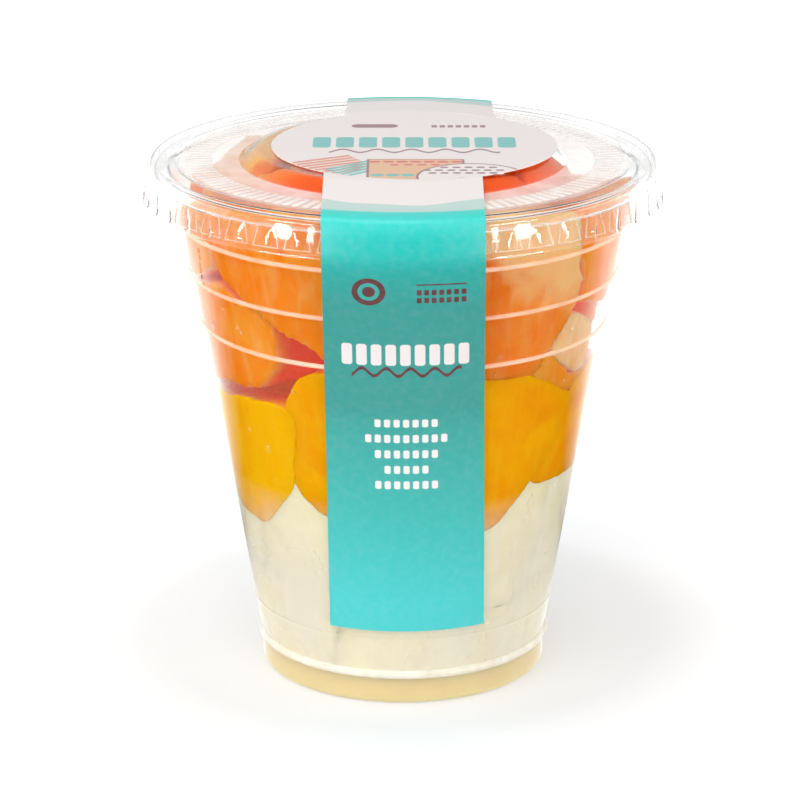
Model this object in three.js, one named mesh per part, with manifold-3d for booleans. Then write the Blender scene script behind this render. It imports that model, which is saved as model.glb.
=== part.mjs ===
// A fruit cup: cut papaya, mango and melon in layers in a clear tapered cup, shut by a
// clear flat lid that a paper sticker seals. Millimetres, +Z up. The origin is the middle
// of the cup's foot, and the sticker's long strips hang at -Y (the front) and at +Y.
import * as THREE from 'three';
import { mergeVertices } from 'three/addons/utils/BufferGeometryUtils.js';
import { ConvexGeometry } from 'three/addons/geometries/ConvexGeometry.js';
import Module from 'manifold-3d';

const wasm = await Module();
wasm.setup();

// Driving dimensions ----------------------------------------------------------------------

const sheet = 0.6; // plastic sheet of the cup and the lid
const gap = 0.3; // clearance between neighbouring pieces
const weld = 1e-4; // vertices this near are one vertex

const cupSides = 60;
const footRadius = 28.3;
const footHeight = 5.2;
const footRound = 0.4;
const recessRadius = 24.0; // hollow under the base, inside the foot's channel
const recessDepth = 2.0;
const baseTop = recessDepth + sheet;
const ledgeHeight = 5.9; // small shoulder where the foot meets the wall
const wallFootRadius = 28.5; // outside of the wall just above the shoulder
const wallSlope = 0.165; // radius gained for each millimetre of height
const ringHeights = [71.8, 81.9, 91.8]; // stacking steps
const ringStep = 0.45;
const ringRise = 0.5;
const rimUnder = 99.4;
const rimTop = 102.4;
const rimRadius = 48.5;
const rimRound = 0.8;

const snapCount = 48; // snaps pressed into the lid's skirt
const snapDepth = 0.6;
const plateauTop = 104.9;
const plateauRadius = 28.6;
const plateauFootRadius = 31.4;
const panelTop = 102.8;
const panelRadius = 43.6;
const beadTop = 103.4;
const beadInnerRadius = 44.7;
const beadOuterRadius = 48.7;
const lidCornerRadius = 49.4;
const lidCornerHeight = 102.9;
const skirtTopHeight = 101.0;
const skirtTopRadius = 49.8;
const snapHeight = 98.0;
const snapRadius = 50.35;
const skirtHeight = 95.6; // height of the skirt's lower edge
const skirtRadius = 50.8;

const paper = 0.35;
const stripWidth = 29.8;
const stripColumns = 6;
const stripStartRadius = 20;
const stripBottom = 16;
const stripClear = 0.45; // between the strip and the wall, which its flat columns bow towards
const stripStuckFrom = 62; // the strip hangs free above this height
const stripDrift = 0.8; // sideways drift of the strip from the rim down to its end
const backShift = 3.4; // the sticker lies a little askew, so its back strip is further to the right
const sealRadius = 27.8; // round seal on the lid
const sealShift = 2.2;
const sealSides = 60;

const fruitSides = 32;
const fruitTop = 101.6;
const cutOutset = 3; // a block's outer face starts this far beyond the wall, which trims it
const cutGap = 0.5; // between two cut pieces
const cutBevel = 1.6; // worn edges of a cut piece
const cutWobble = 1.3; // how far a far piece's corners stray from a true block
const cutTaper = 0.85; // size of a block's inner end to its outer face
const cutSpread = 0.08; // share by which a far piece is larger or smaller than its kin
const seatStray = 2; // how far a far piece's seat strays, in degrees and in millimetres
const seatPitch = 4; // degrees by which a far piece tips in or out

// Helpers ---------------------------------------------------------------------------------

const radians = THREE.MathUtils.degToRad;

/** A closed solid from a geometry whose shared vertices still lie apart. */
function solidOf(geometry) {
  const bare = geometry.clone();
  bare.deleteAttribute('normal');
  bare.deleteAttribute('uv');
  const welded = mergeVertices(bare, weld);
  const corners = welded.index.array;
  const triVerts = [];
  for (let i = 0; i < corners.length; i += 3) {
    const [a, b, c] = corners.slice(i, i + 3);
    if (a !== b && b !== c && c !== a) triVerts.push(a, b, c);
  }
  const vertProperties = new Float32Array(welded.attributes.position.array);
  const mesh = new wasm.Mesh({ numProp: 3, vertProperties, triVerts: new Uint32Array(triVerts) });
  return new wasm.Manifold(mesh);
}

/** The three.js geometry of a solid. */
function geometryOf(solid) {
  const { vertProperties, triVerts } = solid.getMesh();
  const geometry = new THREE.BufferGeometry();
  geometry.setAttribute('position', new THREE.BufferAttribute(vertProperties, 3));
  geometry.setIndex(new THREE.BufferAttribute(triVerts, 1));
  geometry.computeVertexNormals();
  return geometry;
}

/** A profile of [radius, height] pairs turned about the upright axis. */
function turned(profile, sides) {
  const points = profile.map(([radius, height]) => new THREE.Vector2(radius, height));
  const geometry = new THREE.LatheGeometry(points, sides);
  return geometry.rotateX(Math.PI / 2);
}

/** A seeded random draw between 0 and 1 (mulberry32). */
function seededDraw(seed) {
  let state = seed;
  return () => {
    state = (state + 0x6d2b79f5) | 0;
    let mixed = Math.imul(state ^ (state >>> 15), 1 | state);
    mixed = (mixed + Math.imul(mixed ^ (mixed >>> 7), 61 | mixed)) ^ mixed;
    return ((mixed ^ (mixed >>> 14)) >>> 0) / 2 ** 32;
  };
}

const group = new THREE.Group();

/** Adds a named mesh with its own material to the group. */
function addPiece(name, geometry, color, roughness) {
  const material = new THREE.MeshStandardMaterial({ color, roughness, metalness: 0 });
  const mesh = new THREE.Mesh(geometry, material);
  mesh.name = name;
  group.add(mesh);
}

// The cup: one drawn sheet, with a hollow foot ring, a tapered wall stepped three times near the
// top so that cups stack, and a rolled rim ---------------------------------------------------

/** Outside radius of the wall, with every stacking step below that height. */
function wallRadius(height) {
  const steps = ringHeights.filter((ring) => ring <= height).length;
  return wallFootRadius + wallSlope * (height - ledgeHeight) + steps * ringStep;
}

/** The wall's run of [radius, height] pairs from below the first step up, moved inwards. */
function steppedWall(inset) {
  return ringHeights.flatMap((ring) => [
    [wallRadius(ring - ringRise) - inset, ring - ringRise],
    [wallRadius(ring) - inset, ring],
  ]);
}

function cupProfile() {
  const outside = [
    [0, recessDepth],
    [recessRadius, recessDepth],
    [recessRadius + footRound, 0],
    [footRadius - footRound, 0],
    [footRadius, footRound],
    [footRadius, footHeight],
    [wallFootRadius, ledgeHeight],
    ...steppedWall(0),
    [wallRadius(rimUnder), rimUnder],
  ];
  const rim = [
    [rimRadius - rimRound, rimUnder],
    [rimRadius, rimUnder + rimRound],
    [rimRadius, rimTop - rimRound],
    [rimRadius - rimRound, rimTop],
    [wallRadius(rimTop) + rimRound / 2, rimTop],
  ];
  const inside = [
    [wallRadius(rimTop) - sheet, rimTop - rimRound],
    ...steppedWall(sheet).reverse(),
    [wallFootRadius - sheet, ledgeHeight],
    [footRadius - sheet, footHeight],
    [footRadius - sheet, sheet + footRound],
    [footRadius - sheet - footRound, sheet],
    [recessRadius + footRound + sheet, sheet],
    [recessRadius + sheet, baseTop],
    [0, baseTop],
  ];
  return [...outside, ...rim, ...inside];
}

addPiece('cup', geometryOf(solidOf(turned(cupProfile(), cupSides))), 0xe9f0f0, 0.05);

// The lid: one drawn sheet with a raised middle, a bead over the cup's rim and a flared
// skirt whose snaps grip below the rim -------------------------------------------------------

const lidOutside = [
  [0, plateauTop],
  [plateauRadius, plateauTop],
  [plateauFootRadius, panelTop],
  [panelRadius, panelTop],
  [beadInnerRadius, beadTop],
  [beadOuterRadius, beadTop],
  [lidCornerRadius, lidCornerHeight],
  [skirtTopRadius, skirtTopHeight],
  [snapRadius, snapHeight],
  [skirtRadius, skirtHeight],
];

/** The lid's underside, a sheet's thickness from its outside. */
const lidUnderside = [
  [skirtRadius - sheet, skirtHeight],
  [snapRadius - sheet, snapHeight],
  [skirtTopRadius - sheet, skirtTopHeight],
  [lidCornerRadius - sheet, lidCornerHeight - sheet / 2],
  [beadOuterRadius - sheet / 3, beadTop - sheet],
  [beadInnerRadius + sheet / 3, beadTop - sheet],
  [panelRadius + sheet / 3, panelTop - sheet],
  [plateauFootRadius - sheet / 3, panelTop - sheet],
  [plateauRadius - sheet / 3, plateauTop - sheet],
  [0, plateauTop - sheet],
];

/** Presses every second column of the snap rows inwards. */
function pressSnaps(geometry, profile) {
  const place = geometry.attributes.position;
  for (let i = 0; i < place.count; i += 1) {
    const column = Math.floor(i / profile.length);
    const height = profile[i % profile.length][1];
    if (column % 2 === 1 && height === snapHeight) {
      const radius = Math.hypot(place.getX(i), place.getY(i));
      const scale = (radius - snapDepth) / radius;
      place.setX(i, place.getX(i) * scale);
      place.setY(i, place.getY(i) * scale);
    }
  }
}

const lidProfile = [...lidOutside, ...lidUnderside].reverse();
const lidGeometry = turned(lidProfile, 2 * snapCount);
pressSnaps(lidGeometry, lidProfile);
addPiece('lid', geometryOf(solidOf(lidGeometry)), 0xe9f0f0, 0.05);

// The sticker: a round seal on the lid with a strip to the front and one to the back, each
// bent over the rim, hanging free and then stuck to the wall ---------------------------------

/** Underside of a strip as [radius, height] pairs, from the seal down to its end. */
const stripPath = [
  [stripStartRadius, plateauTop + gap],
  [plateauRadius + gap, plateauTop + gap],
  [beadOuterRadius, beadTop + gap],
  [lidCornerRadius + gap, lidCornerHeight + gap],
  [skirtTopRadius + stripClear, skirtTopHeight],
  [skirtRadius + stripClear, skirtHeight],
  [wallRadius(stripStuckFrom) + stripClear, stripStuckFrom],
  [wallRadius(stripBottom) + stripClear, stripBottom],
];

/** Unit normal of the strip's path at a point, away from the cup. */
function pathNormal(index) {
  const before = stripPath[Math.max(index - 1, 0)];
  const after = stripPath[Math.min(index + 1, stripPath.length - 1)];
  return new THREE.Vector2(before[1] - after[1], after[0] - before[0]).normalize();
}

/** A strip of the sticker, moved sideways by shift and then turned to its side of the cup. */
function stripSolid(turn, shift) {
  const rows = stripPath.length - 1;
  const geometry = new THREE.BoxGeometry(stripWidth, rows, 1, stripColumns, rows, 1);
  const place = geometry.attributes.position;
  for (let i = 0; i < place.count; i += 1) {
    const row = Math.round(rows / 2 - place.getY(i));
    const outer = place.getZ(i) > 0 ? paper : 0;
    const normal = pathNormal(row);
    const radius = stripPath[row][0] + normal.x * outer;
    const height = stripPath[row][1] + normal.y * outer;
    const drop = Math.max(0, (beadTop - height) / (beadTop - stripBottom));
    const side = place.getX(i) + shift + stripDrift * drop;
    place.setXYZ(i, side, -Math.sqrt(radius * radius - side * side), height);
  }
  return solidOf(geometry.rotateZ(turn));
}

function sealSolid() {
  const disc = new THREE.CylinderGeometry(sealRadius, sealRadius, paper, sealSides);
  disc.rotateX(Math.PI / 2);
  disc.translate(sealShift, 0, plateauTop + gap + paper / 2);
  return solidOf(disc);
}

const sticker = sealSolid().add(stripSolid(0, 0)).add(stripSolid(Math.PI, -backShift));
addPiece('label', geometryOf(sticker), 0x4fc4b8, 0.35);

// The fruit: knife-cut blocks that press against the wall and on each other -------------------

/** Space that the fruit may fill, clear of the cup and the lid. */
function fruitSpace() {
  const inset = sheet + gap;
  const firstStep = ringHeights[0] - ringRise;
  const profile = [
    [0, baseTop + gap],
    [recessRadius - gap, baseTop + gap],
    [wallFootRadius - inset, ledgeHeight + gap],
    [wallRadius(firstStep) - inset, firstStep],
    [wallRadius(fruitTop) - inset, fruitTop],
    [0, fruitTop],
  ];
  return solidOf(turned(profile, fruitSides));
}

/**
 * A block's seat from its outer face: [azimuth, height] of each corner where it meets the
 * wall. azimuth is 0 at the front and grows to the right, pitch tips its top outwards, and
 * inset is how far behind the wall it stays.
 */
function facedSeat({ corners, deep, pitch = 0, inset = 0 }) {
  const azimuth = corners.reduce((sum, corner) => sum + corner[0], 0) / corners.length;
  const height = corners.reduce((sum, corner) => sum + corner[1], 0) / corners.length;
  const face = corners.map(([turn, rise]) => {
    return new THREE.Vector2(wallRadius(rise) * Math.sin(radians(turn - azimuth)), rise - height);
  });
  return { azimuth, height, face, deep, inset, pitch, wobble: 0 };
}

/** A block's seat from its size; lean tips its top to the right as seen from outside. */
function boxSeat({ azimuth, height, wide, tall, deep, lean, pitch }) {
  const middle = new THREE.Vector2();
  const face = [[-1, 1], [1, 1], [1, -1], [-1, -1]].map(([x, z]) => {
    return new THREE.Vector2((x * wide) / 2, (z * tall) / 2).rotateAround(middle, -radians(lean));
  });
  return { azimuth, height, face, deep, inset: 0, pitch, wobble: cutWobble };
}

/** A cut block seated against the wall, its edges bevelled or, for its room, grown all round. */
function blockSolid(seat, strays, bevel, swell) {
  const { azimuth, height, face, deep, inset, pitch } = seat;
  const count = face.length;
  const tips = strays.map((shift, i) => {
    const inner = i >= count;
    const { x, y } = face[i % count].clone().multiplyScalar(inner ? cutTaper : 1);
    return new THREE.Vector3(x, ((inner ? 1 : -1) * deep) / 2, y).add(shift);
  });
  const points = tips.flatMap((tip, i) => {
    const ring = i < count ? 0 : count;
    const towards = (j) => tips[j].clone().sub(tip).normalize();
    const left = towards(ring + ((i + 1) % count));
    const right = towards(ring + ((i + count - 1) % count));
    const through = towards((i + count) % (2 * count));
    if (bevel === 0) {
      const mitre = left.clone().add(right).divideScalar(left.clone().cross(right).length());
      return [tip.clone().addScaledVector(mitre.add(through), -swell)];
    }
    return [[left, right], [right, through], [through, left]].map(([one, other]) => {
      return tip.clone().addScaledVector(one, bevel).addScaledVector(other, bevel);
    });
  });
  const reach = wallRadius(height) - deep / 2 + cutOutset - inset;
  const block = new ConvexGeometry(points);
  block.rotateX(radians(pitch));
  block.translate(0, -reach, height);
  block.rotateZ(radians(azimuth));
  return solidOf(block);
}

// Pieces that press against the front half of the wall, uppermost first
const papayaFaces = [
  { deep: 33, corners: [[-60, 99], [-6, 104], [4, 88], [-18, 71.5], [-57, 86.8]] },
  { deep: 32, corners: [[6, 105], [46, 100], [54, 84], [51.5, 79.5], [39.5, 67], [-8, 69.5]] },
  { deep: 22, corners: [[-86, 80], [-56, 84], [-38.5, 79.5], [-37, 71], [-45, 64.4], [-84, 60]] },
  { deep: 18, corners: [[48, 78.3], [58, 77.6], [67, 72.5], [68, 65], [58, 65.2], [44, 72.8]] },
  { deep: 18, corners: [[40, 72], [46, 74], [70, 65], [57, 61.3], [39, 66.7]] },
  { deep: 24, corners: [[47, 101], [80, 101], [83, 84], [74, 77.5], [53, 81]] },
  { deep: 22, corners: [[-58, 100], [-57, 87.3], [-70, 83], [-96, 80.5], [-92, 88], [-74, 96]] },
  { deep: 14, inset: 11, pitch: -6, corners: [[-82, 104], [-122, 104], [-122, 80], [-82, 80]] },
];

const mangoFaces = [
  { deep: 24, corners: [[-33.5, 64.5], [-28, 68.5], [2, 70.5], [5, 44], [-24, 39.5], [-36, 45.5]] },
  { deep: 24, corners: [[6, 69], [38.5, 67], [60.5, 60.6], [42.5, 44.5], [30, 36.3], [8, 38]] },
  { deep: 22, corners: [[-90, 57], [-36, 61.5], [-37.5, 46], [-55, 34], [-75, 36], [-92, 43]] },
  { deep: 22, corners: [[56, 62], [68, 66.3], [90, 63], [88, 43], [43.5, 44.3]] },
];

const melonFaces = [
  { deep: 18, corners: [[-37, 47], [-20, 41], [-18, 23.5], [-54, 21.2], [-57, 34]] },
  { deep: 18, corners: [[-57, 35], [-72, 37], [-96, 44], [-94, 24], [-60, 21.5]] },
  { deep: 18, corners: [[-16, 41], [8, 39], [12, 22], [-16, 23]] },
  { deep: 18, corners: [[12, 39], [31, 37], [44, 45], [52, 44], [47, 20], [14, 21]] },
  { deep: 18, corners: [[52, 44.5], [90, 43], [90, 22], [52, 21]] },
  { deep: 25, corners: [[-92, 23], [-54, 20.6], [-20, 22.5], [-26, 2], [-86, 2]] },
  { deep: 25, corners: [[-20, 22.5], [12, 21.5], [26, 2], [-26, 2]] },
  { deep: 25, corners: [[12, 21.5], [48, 19.5], [92, 21.5], [88, 2], [26, 2]] },
];

// Rows of like pieces round the rest of the cup, between two azimuths
const highPapaya = { from: 124, to: 238, count: 4, height: 80, wide: 30, tall: 23, deep: 31, lean: 14 };
const lowPapaya = { from: 122, to: 258, count: 5, height: 65, wide: 25, tall: 15, deep: 22, lean: 12 };
const farMango = { from: 104, to: 262, count: 5, height: 50, wide: 25, tall: 24, deep: 22, lean: 20 };
const highMelon = { from: 108, to: 252, count: 5, height: 33, wide: 20, tall: 20, deep: 18, lean: 20 };
const lowMelon = { from: 108, to: 252, count: 4, height: 13, wide: 26, tall: 21, deep: 25, lean: 20 };

const draw = seededDraw(7);

/** A draw between -1 and 1. */
const stray = () => 2 * draw() - 1;

/** The seats of such a row, each a little astray. */
function rowSeats({ from, to, count, height, wide, tall, deep, lean }) {
  return Array.from({ length: count }, (_, i) => boxSeat({
    azimuth: from + ((to - from) * i) / (count - 1) + seatStray * stray(),
    height: height + seatStray * stray(),
    wide: wide * (1 + cutSpread * stray()),
    tall: tall * (1 + cutSpread * stray()),
    deep,
    lean: lean * stray(),
    pitch: seatPitch * stray(),
  }));
}

const fruitRows = [
  ['papaya', [...papayaFaces.map(facedSeat), ...rowSeats(highPapaya), ...rowSeats(lowPapaya)]],
  ['mango', [...mangoFaces.map(facedSeat), ...rowSeats(farMango)]],
  ['melon', [...melonFaces.map(facedSeat), ...rowSeats(highMelon), ...rowSeats(lowMelon)]],
];

const fruitLook = {
  papaya: [0xf08c33, 0.35],
  mango: [0xf5b400, 0.35],
  melon: [0xeee4c8, 0.4],
};

// Each block is trimmed by the space and by the blocks before it, and keeps its largest part
let space = fruitSpace();
for (const [fruit, seats] of fruitRows) {
  seats.forEach((seat, i) => {
    const corners = [...seat.face, ...seat.face];
    const strays = corners.map(() => new THREE.Vector3(stray(), stray(), stray()).multiplyScalar(seat.wobble));
    const block = blockSolid(seat, strays, cutBevel, 0).intersect(space);
    const [largest] = block.decompose().sort((a, b) => b.volume() - a.volume());
    space = space.subtract(blockSolid(seat, strays, 0, cutGap));
    addPiece(`${fruit}_${i + 1}`, geometryOf(largest), ...fruitLook[fruit]);
  });
}

export default group;
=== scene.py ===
# A cup of cut fruit in layers, shut by a clear snap lid that a printed paper sticker seals.
# Metres, +Z up; the origin is the middle of the cup's foot and the front strip hangs at -Y.
import math

import bmesh
import bpy
import numpy as np
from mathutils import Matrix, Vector


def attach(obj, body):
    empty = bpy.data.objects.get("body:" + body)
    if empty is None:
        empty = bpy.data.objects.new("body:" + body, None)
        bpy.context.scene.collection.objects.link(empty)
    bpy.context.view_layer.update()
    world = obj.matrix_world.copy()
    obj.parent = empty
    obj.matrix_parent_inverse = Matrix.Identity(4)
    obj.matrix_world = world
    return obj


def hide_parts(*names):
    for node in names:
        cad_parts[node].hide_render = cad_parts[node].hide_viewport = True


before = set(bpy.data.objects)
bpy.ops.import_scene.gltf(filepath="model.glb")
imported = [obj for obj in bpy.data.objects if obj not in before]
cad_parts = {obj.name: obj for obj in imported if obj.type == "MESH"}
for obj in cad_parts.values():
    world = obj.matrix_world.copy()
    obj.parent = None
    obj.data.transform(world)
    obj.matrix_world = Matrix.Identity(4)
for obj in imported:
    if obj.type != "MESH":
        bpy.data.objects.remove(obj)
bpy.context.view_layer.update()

# ----------------------------------------------------------------------
# The table and the studio: a white table top, a soft white tent, a large soft key above
# and in front, and a low strip light on each side that the lid's snaps catch.
# ----------------------------------------------------------------------


def add_node(tree, kind, **settings):
    """A new node; settings that name an input give its value, and the rest are its own settings."""
    node = tree.nodes.new(kind)
    for setting, value in settings.items():
        if hasattr(node, setting):
            setattr(node, setting, value)
        else:
            node.inputs[setting.replace("_", " ")].default_value = value
    return node


def bare_material(name, **values):
    """A new material, as (material, tree, shader); values go to the shader's inputs they name."""
    material = bpy.data.materials.new(name)
    material.use_nodes = True
    tree = material.node_tree
    shader = tree.nodes["Principled BSDF"]
    for socket, value in values.items():
        shader.inputs[socket.replace("_", " ")].default_value = value
    return material, tree, shader


def set_finish(tree, shader, colour, roughness):
    """Gives the shader its colour and its roughness."""
    tree.links.new(colour, shader.inputs["Base Color"])
    tree.links.new(roughness, shader.inputs["Roughness"])


def object_noise(tree, scale, detail=2.0, stretch=(1, 1, 1)):
    """Noise on Object coordinates; scale is features in a metre."""
    place = add_node(tree, "ShaderNodeTexCoord")
    mapping = add_node(tree, "ShaderNodeMapping")
    mapping.inputs["Scale"].default_value = stretch
    noise = add_node(tree, "ShaderNodeTexNoise", Scale=scale, Detail=detail)
    tree.links.new(place.outputs["Object"], mapping.inputs["Vector"])
    tree.links.new(mapping.outputs["Vector"], noise.inputs["Vector"])
    return noise.outputs["Fac"]


def ranged(tree, value, low, high, start=0.3, end=0.7):
    """The value, as it goes from start to end, turned into low to high."""
    reach = add_node(tree, "ShaderNodeMapRange")
    reach.inputs["From Min"].default_value = start
    reach.inputs["From Max"].default_value = end
    reach.inputs["To Min"].default_value = low
    reach.inputs["To Max"].default_value = high
    tree.links.new(value, reach.inputs["Value"])
    return reach.outputs["Result"]


def tinted(tree, factor, first, second):
    """A colour between first and second; either may be a colour or a socket."""
    mix = add_node(tree, "ShaderNodeMix", data_type="RGBA")
    for socket, colour in ((mix.inputs[6], first), (mix.inputs[7], second)):
        if isinstance(colour, tuple):
            socket.default_value = (*colour, 1)
        else:
            tree.links.new(colour, socket)
    if isinstance(factor, float):
        mix.inputs[0].default_value = factor
    else:
        tree.links.new(factor, mix.inputs[0])
    return mix.outputs[2]


def maths(tree, operation, *sources):
    """The outcome of a maths node; each source is a number or a socket."""
    node = add_node(tree, "ShaderNodeMath", operation=operation)
    for socket, source in zip(node.inputs, sources):
        if isinstance(source, (int, float)):
            socket.default_value = source
        else:
            tree.links.new(source, socket)
    return node.outputs[0]


def place_parts(tree, coordinates="Object"):
    """The X, Y and Z of every place, by name."""
    place = add_node(tree, "ShaderNodeTexCoord")
    parts = add_node(tree, "ShaderNodeSeparateXYZ")
    tree.links.new(place.outputs[coordinates], parts.inputs[0])
    return parts.outputs


def mixed(tree, share, surface, other):
    """The surface, with that share of another one in it."""
    mix = add_node(tree, "ShaderNodeMixShader")
    for socket, source in zip(mix.inputs, (share, surface, other)):
        tree.links.new(source, socket)
    return mix.outputs["Shader"]


TABLE_SIZE = 6.0

bpy.ops.object.select_all(action="DESELECT")
bpy.ops.mesh.primitive_plane_add(size=TABLE_SIZE, location=(0, 0, -0.0002))
table = bpy.context.active_object
table.name = "table_top"
table_white, tree, shader = bare_material("white table", Emission_Color=(1, 1, 1, 1))
mottle = object_noise(tree, 6.0)
table_colour = tinted(tree, mottle, (0.55, 0.555, 0.57), (0.58, 0.585, 0.60))
set_finish(tree, shader, table_colour, ranged(tree, mottle, 0.5, 0.6))
towards_back = place_parts(tree)["Y"]
place = add_node(tree, "ShaderNodeTexCoord")
distance = add_node(tree, "ShaderNodeVectorMath", operation="LENGTH")
tree.links.new(place.outputs["Object"], distance.inputs[0])
from_cup = distance.outputs["Value"]
# Painted glow: the table top glows, weakly beside the cup and more towards the back and further off;
# scattered light meets an even painted glow instead, and the cup's first mirror a painted reflection
whiter_back = ranged(tree, towards_back, 0.30, 1.0, -0.05, 0.25)
whiter = maths(tree, "MAXIMUM", whiter_back, ranged(tree, from_cup, 0.28, 0.62, 0.034, 0.075))
tree.links.new(whiter, shader.inputs["Emission Strength"])
plain_top = add_node(tree, "ShaderNodeEmission", Strength=0.7)
mirrored_top = add_node(tree, "ShaderNodeEmission")
# What the cup's front mirrors: bright behind it, right below it and far in front, and dark between
mirrored_light = ranged(tree, towards_back, 0.0, 1.6, 0.05, 0.13)
for far_light, near_light, start, end in ((0.0, 1.2, 0.04, 0.09), (1.1, 0.0, 0.24, 0.34)):
    band = ranged(tree, from_cup, near_light, far_light, start, end)
    mirrored_light = maths(tree, "MAXIMUM", mirrored_light, band)
tree.links.new(mirrored_light, mirrored_top.inputs["Strength"])
path = add_node(tree, "ShaderNodeLightPath")
first_hit = maths(tree, "LESS_THAN", path.outputs["Ray Depth"], 1.5)
mirrored = maths(tree, "MULTIPLY", path.outputs["Is Glossy Ray"], first_hit)
surface = mixed(tree, path.outputs["Is Diffuse Ray"], shader.outputs["BSDF"], plain_top.outputs[0])
surface = mixed(tree, mirrored, surface, mirrored_top.outputs[0])
tree.links.new(surface, tree.nodes["Material Output"].inputs["Surface"])
table.data.materials.append(table_white)

tent = bpy.data.worlds.new("white tent")
bpy.context.scene.world = tent
tent.use_nodes = True
TENT_LIGHT = 0.3
FRONT_WALL = 0.5
BACK_WALL = 0.42
SEEN_WALL = 1.05
HIGH_WALL = 0.8
tree = tent.node_tree
wall = tree.nodes["Background"]
wall.inputs["Strength"].default_value = TENT_LIGHT
path = add_node(tree, "ShaderNodeLightPath")
# Gloss mirrors a back wall that is grey low down, which keeps the fruit's colours deep, and
# the bent edges of the clear plastic show it white
way = place_parts(tree, "Generated")
high = ranged(tree, way["Z"], 0.0, HIGH_WALL, 0.26, 0.5)
higher = ranged(tree, way["Z"], 1.0, 0.6, 0.5, 0.9)
surface = wall.outputs[0]
for ray, back in (("Is Glossy Ray", BACK_WALL), ("Is Transmission Ray", SEEN_WALL)):
    brighter = maths(tree, "MAXIMUM", ranged(tree, way["Y"], FRONT_WALL, back, -0.1, 0.5), high)
    lit = add_node(tree, "ShaderNodeBackground")
    tree.links.new(maths(tree, "MULTIPLY", brighter, higher), lit.inputs["Strength"])
    surface = mixed(tree, path.outputs[ray], surface, lit.outputs[0])
tree.links.new(surface, tree.nodes["World Output"].inputs["Surface"])
for lit in tree.nodes:
    if lit.type == "BACKGROUND":
        lit.inputs["Color"].default_value = (1, 1, 1, 1)


def add_softbox(name, azimuth, elevation, distance, width, height, power):
    """A soft light aimed at the cup; azimuth is 0 at the front and grows to the right."""
    turn, rise = math.radians(azimuth), math.radians(elevation)
    aim = 0.10
    place = (
        distance * math.sin(turn) * math.cos(rise),
        -distance * math.cos(turn) * math.cos(rise),
        aim + distance * math.sin(rise),
    )
    bpy.ops.object.light_add(type="AREA", location=place, rotation=(math.pi / 2 - rise, 0, turn))
    softbox = bpy.context.active_object
    softbox.name = name
    softbox.data.shape = "RECTANGLE"
    softbox.data.size = width
    softbox.data.size_y = height
    softbox.data.energy = power
    return softbox


add_softbox("key_softbox", -18, 60, 1.2, 1.1, 0.8, 11.5)
for side, azimuth, power in (("left", -50, 3.6), ("right", 50, 3.2)):
    add_softbox(side + "_striplight", azimuth, -1.5, 1.1, 0.46, 0.14, power)
    glint = add_softbox(side + "_glint", azimuth, -1.5, 1.09, 0.46, 0.14, 2 * power)
    glint.visible_diffuse = False
for side, azimuth, power in (("left", -100, 1.3), ("right", 100, 1.4)):
    fill = add_softbox(side + "_fill", azimuth, 6, 0.9, 0.6, 0.3, power)
    fill.visible_glossy = False

CAMERA_PLACE = (0, -0.65005, 0.2619)
CAMERA_TILT, CAMERA_TURN = 0.3105, 0.0009  # radians down from level, and to the left
level = math.pi / 2
bpy.ops.object.camera_add(location=CAMERA_PLACE, rotation=(level - CAMERA_TILT, 0, CAMERA_TURN))
camera = bpy.context.active_object
camera.data.sensor_width = 36.0
camera.data.lens = 154.42
camera.data.clip_end = 20
bpy.context.scene.camera = camera

bpy.context.scene.view_settings.view_transform = "Standard"
bpy.context.scene.cycles.max_bounces = 24
bpy.context.scene.cycles.transmission_bounces = 20
bpy.context.scene.cycles.transparent_max_bounces = 48
bpy.context.scene.cycles.diffuse_bounces = 6

# ----------------------------------------------------------------------
# The cup: one sheet of clear plastic drawn into a foot channel, a tapered wall with three
# stacking steps near the top and a curled rim.
# ----------------------------------------------------------------------

MM = 0.001
SHEET = 0.35
CUP_SIDES = 256
WALL_RADIUS, WALL_START = 28.5, 5.9  # outside radius at the height where the wall starts
TAPER = 0.165
RINGS = (71.8, 81.9, 91.8)
RING_STEP = 0.45


def wall_radius(height):
    """Outside radius of the cup's wall at a height, in millimetres."""
    steps = sum(ring <= height for ring in RINGS)
    return WALL_RADIUS + TAPER * (height - WALL_START) + RING_STEP * steps


def eased(profile, reach, steps=3):
    """The profile with each corner rounded over at most reach each way."""
    points = [np.array(p, float) for p in profile]
    soft = [points[0]]
    for before, corner, after in zip(points, points[1:], points[2:]):
        back, ahead = before - corner, after - corner
        near = min(reach, 0.45 * np.linalg.norm(back), 0.45 * np.linalg.norm(ahead))
        start = corner + back / np.linalg.norm(back) * near
        end = corner + ahead / np.linalg.norm(ahead) * near
        for i in range(steps + 1):
            t = i / steps
            soft.append((1 - t) ** 2 * start + 2 * t * (1 - t) * corner + t * t * end)
    soft.append(points[-1])
    return [tuple(p) for p in soft]


def select_open_edges():
    """Selects the edges that only one face of the edited sheet has."""
    bpy.ops.mesh.select_all(action="DESELECT")
    bpy.ops.mesh.select_non_manifold(
        use_wire=False, use_multi_face=False, use_non_contiguous=False, use_verts=False
    )


def turned_sheet(name, profile, sides):
    """An open sheet turned about the upright axis through [radius, height] pairs in millimetres."""
    bpy.ops.object.select_all(action="DESELECT")
    radius, height = profile[0]
    bpy.ops.mesh.primitive_circle_add(
        vertices=sides, radius=radius * MM, fill_type="TRIFAN", location=(0, 0, height * MM)
    )
    sheet = bpy.context.active_object
    sheet.name = name
    bpy.ops.object.transform_apply(location=True, rotation=False, scale=False)
    bpy.ops.object.mode_set(mode="EDIT")
    bpy.ops.mesh.select_mode(type="EDGE")
    select_open_edges()
    for next_radius, next_height in profile[1:]:
        rise = (0, 0, (next_height - height) * MM)
        bpy.ops.mesh.extrude_edges_move(TRANSFORM_OT_translate={"value": rise})
        spread = next_radius / radius
        bpy.ops.transform.resize(value=(spread, spread, 1), center_override=(0, 0, 0))
        radius, height = next_radius, next_height
    bpy.ops.object.mode_set(mode="OBJECT")
    return sheet


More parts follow.
